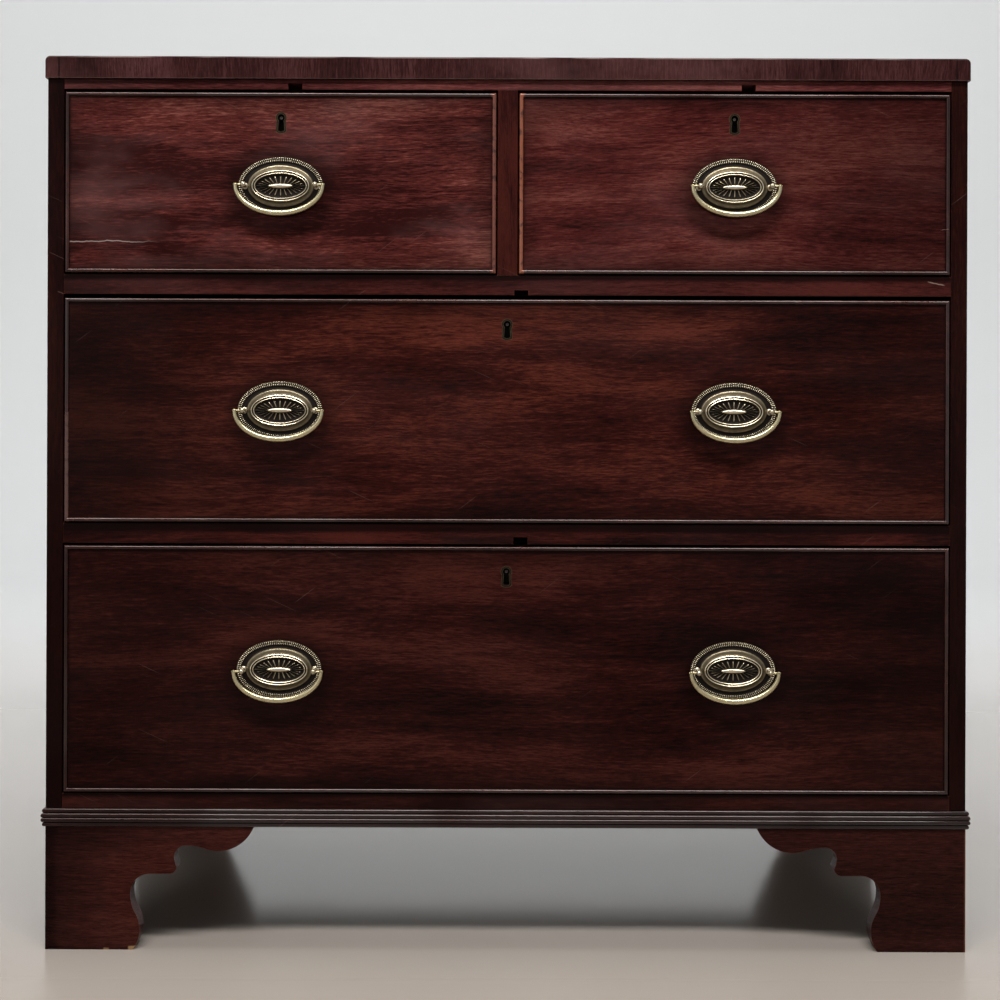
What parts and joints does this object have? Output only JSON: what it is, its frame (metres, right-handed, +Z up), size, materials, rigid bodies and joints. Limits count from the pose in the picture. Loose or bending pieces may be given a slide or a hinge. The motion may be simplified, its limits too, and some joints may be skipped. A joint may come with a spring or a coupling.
{
  "type": "bachelors chest",
  "caption": "Small mahogany chest of drawers, short drawers over long ones, cock-beaded fronts, oval brass bail handles, reeded base moulding and scrolled bracket feet.",
  "frame": {"origin": "on the floor, at the middle of the overall width and depth, handles included", "axes": "+X to the right as seen by someone who faces the drawers, +Y to the back, +Z up; the drawers open towards -Y"},
  "size_m": [0.9256, 0.477, 0.891],
  "materials": {
    "mahogany_top": "old dark french polish",
    "mahogany_case": "old dark french polish",
    "mahogany_short_fronts": "old red french polish",
    "mahogany_long_fronts": "old dark french polish",
    "mahogany_beads": "worn polish",
    "oak": "bare, waxed",
    "pine": "bare, aged",
    "antique_brass": "antique, dark in the hollows",
    "brass_liner": "worn",
    "lock_iron": "oxidised",
    "bolt_steel": "worn",
    "nail_iron": "rusty"
  },
  "bodies": {
    "carcase": {"top_board": "mahogany_top", "top_edge_strips": "mahogany_top", "side_left": "mahogany_case", "side_right": "mahogany_case", "drawer_divider": "mahogany_case", "top_rail": "mahogany_case", "upper_rail": "mahogany_case", "middle_rail": "mahogany_case", "bottom_rail": "mahogany_case", "dustboards": "pine", "runners_and_kickers": "pine", "drawer_stops": "oak", "back_boards": "pine", "back_nails": "nail_iron", "bottom_boards": "pine", "base_moulding": "mahogany_case", "front_foot_left": "mahogany_case", "front_foot_right": "mahogany_case", "back_foot_left": "mahogany_case", "back_foot_right": "mahogany_case", "back_foot_braces": "pine", "glue_blocks": "pine"},
    "left_drawer": {"left_drawer_front": "mahogany_short_fronts", "left_drawer_beads": "mahogany_beads", "left_drawer_sides_and_back": "oak", "left_drawer_bottom": "oak", "left_drawer_lock": "lock_iron", "left_drawer_keyhole": "brass_liner", "left_drawer_handles": "antique_brass"},
    "left_drawer_lock_bolt": {"left_drawer_bolt": "bolt_steel"},
    "left_drawer_bail_swing": {"left_drawer_bail": "antique_brass"},
    "right_drawer": {"right_drawer_front": "mahogany_short_fronts", "right_drawer_beads": "mahogany_beads", "right_drawer_sides_and_back": "oak", "right_drawer_bottom": "oak", "right_drawer_lock": "lock_iron", "right_drawer_keyhole": "brass_liner", "right_drawer_handles": "antique_brass"},
    "right_drawer_lock_bolt": {"right_drawer_bolt": "bolt_steel"},
    "right_drawer_bail_swing": {"right_drawer_bail": "antique_brass"},
    "middle_drawer": {"middle_drawer_front": "mahogany_long_fronts", "middle_drawer_beads": "mahogany_beads", "middle_drawer_sides_and_back": "oak", "middle_drawer_bottom": "oak", "middle_drawer_lock": "lock_iron", "middle_drawer_keyhole": "brass_liner", "middle_drawer_handles": "antique_brass"},
    "middle_drawer_lock_bolt": {"middle_drawer_bolt": "bolt_steel"},
    "middle_drawer_bail_left_swing": {"middle_drawer_bail_left": "antique_brass"},
    "middle_drawer_bail_right_swing": {"middle_drawer_bail_right": "antique_brass"},
    "bottom_drawer": {"bottom_drawer_front": "mahogany_long_fronts", "bottom_drawer_beads": "mahogany_beads", "bottom_drawer_sides_and_back": "oak", "bottom_drawer_bottom": "oak", "bottom_drawer_lock": "lock_iron", "bottom_drawer_keyhole": "brass_liner", "bottom_drawer_handles": "antique_brass"},
    "bottom_drawer_lock_bolt": {"bottom_drawer_bolt": "bolt_steel"},
    "bottom_drawer_bail_left_swing": {"bottom_drawer_bail_left": "antique_brass"},
    "bottom_drawer_bail_right_swing": {"bottom_drawer_bail_right": "antique_brass"}
  },
  "joints": [
    {"name": "left_drawer_slide", "type": "slide", "parent": "carcase", "child": "left_drawer", "axis": [0, -1, 0], "range_m": [0, 0.325]},
    {"name": "left_drawer_bolt_lift", "type": "slide", "parent": "left_drawer", "child": "left_drawer_lock_bolt", "axis": [0, 0, 1], "range_m": [0, 0.008]},
    {"name": "left_drawer_bail_hinge", "type": "hinge", "parent": "left_drawer", "child": "left_drawer_bail_swing", "pos_m": [-0.22625, -0.23547, 0.762], "axis": [-1, 0, 0], "range_deg": [-15, 195]},
    {"name": "right_drawer_slide", "type": "slide", "parent": "carcase", "child": "right_drawer", "axis": [0, -1, 0], "range_m": [0, 0.325]},
    {"name": "right_drawer_bolt_lift", "type": "slide", "parent": "right_drawer", "child": "right_drawer_lock_bolt", "axis": [0, 0, 1], "range_m": [0, 0.008]},
    {"name": "right_drawer_bail_hinge", "type": "hinge", "parent": "right_drawer", "child": "right_drawer_bail_swing", "pos_m": [0.22625, -0.23547, 0.762], "axis": [-1, 0, 0], "range_deg": [-15, 195]},
    {"name": "middle_drawer_slide", "type": "slide", "parent": "carcase", "child": "middle_drawer", "axis": [0, -1, 0], "range_m": [0, 0.325]},
    {"name": "middle_drawer_bolt_lift", "type": "slide", "parent": "middle_drawer", "child": "middle_drawer_lock_bolt", "axis": [0, 0, 1], "range_m": [0, 0.008]},
    {"name": "middle_drawer_bail_left_hinge", "type": "hinge", "parent": "middle_drawer", "child": "middle_drawer_bail_left_swing", "pos_m": [-0.22625, -0.23547, 0.5385], "axis": [-1, 0, 0], "range_deg": [-15, 195]},
    {"name": "middle_drawer_bail_right_hinge", "type": "hinge", "parent": "middle_drawer", "child": "middle_drawer_bail_right_swing", "pos_m": [0.22625, -0.23547, 0.5385], "axis": [-1, 0, 0], "range_deg": [-15, 195]},
    {"name": "bottom_drawer_slide", "type": "slide", "parent": "carcase", "child": "bottom_drawer", "axis": [0, -1, 0], "range_m": [0, 0.325]},
    {"name": "bottom_drawer_bolt_lift", "type": "slide", "parent": "bottom_drawer", "child": "bottom_drawer_lock_bolt", "axis": [0, 0, 1], "range_m": [0, 0.008]},
    {"name": "bottom_drawer_bail_left_hinge", "type": "hinge", "parent": "bottom_drawer", "child": "bottom_drawer_bail_left_swing", "pos_m": [-0.22625, -0.23547, 0.2804], "axis": [-1, 0, 0], "range_deg": [-15, 195]},
    {"name": "bottom_drawer_bail_right_hinge", "type": "hinge", "parent": "bottom_drawer", "child": "bottom_drawer_bail_right_swing", "pos_m": [0.22625, -0.23547, 0.2804], "axis": [-1, 0, 0], "range_deg": [-15, 195]}
  ]
}
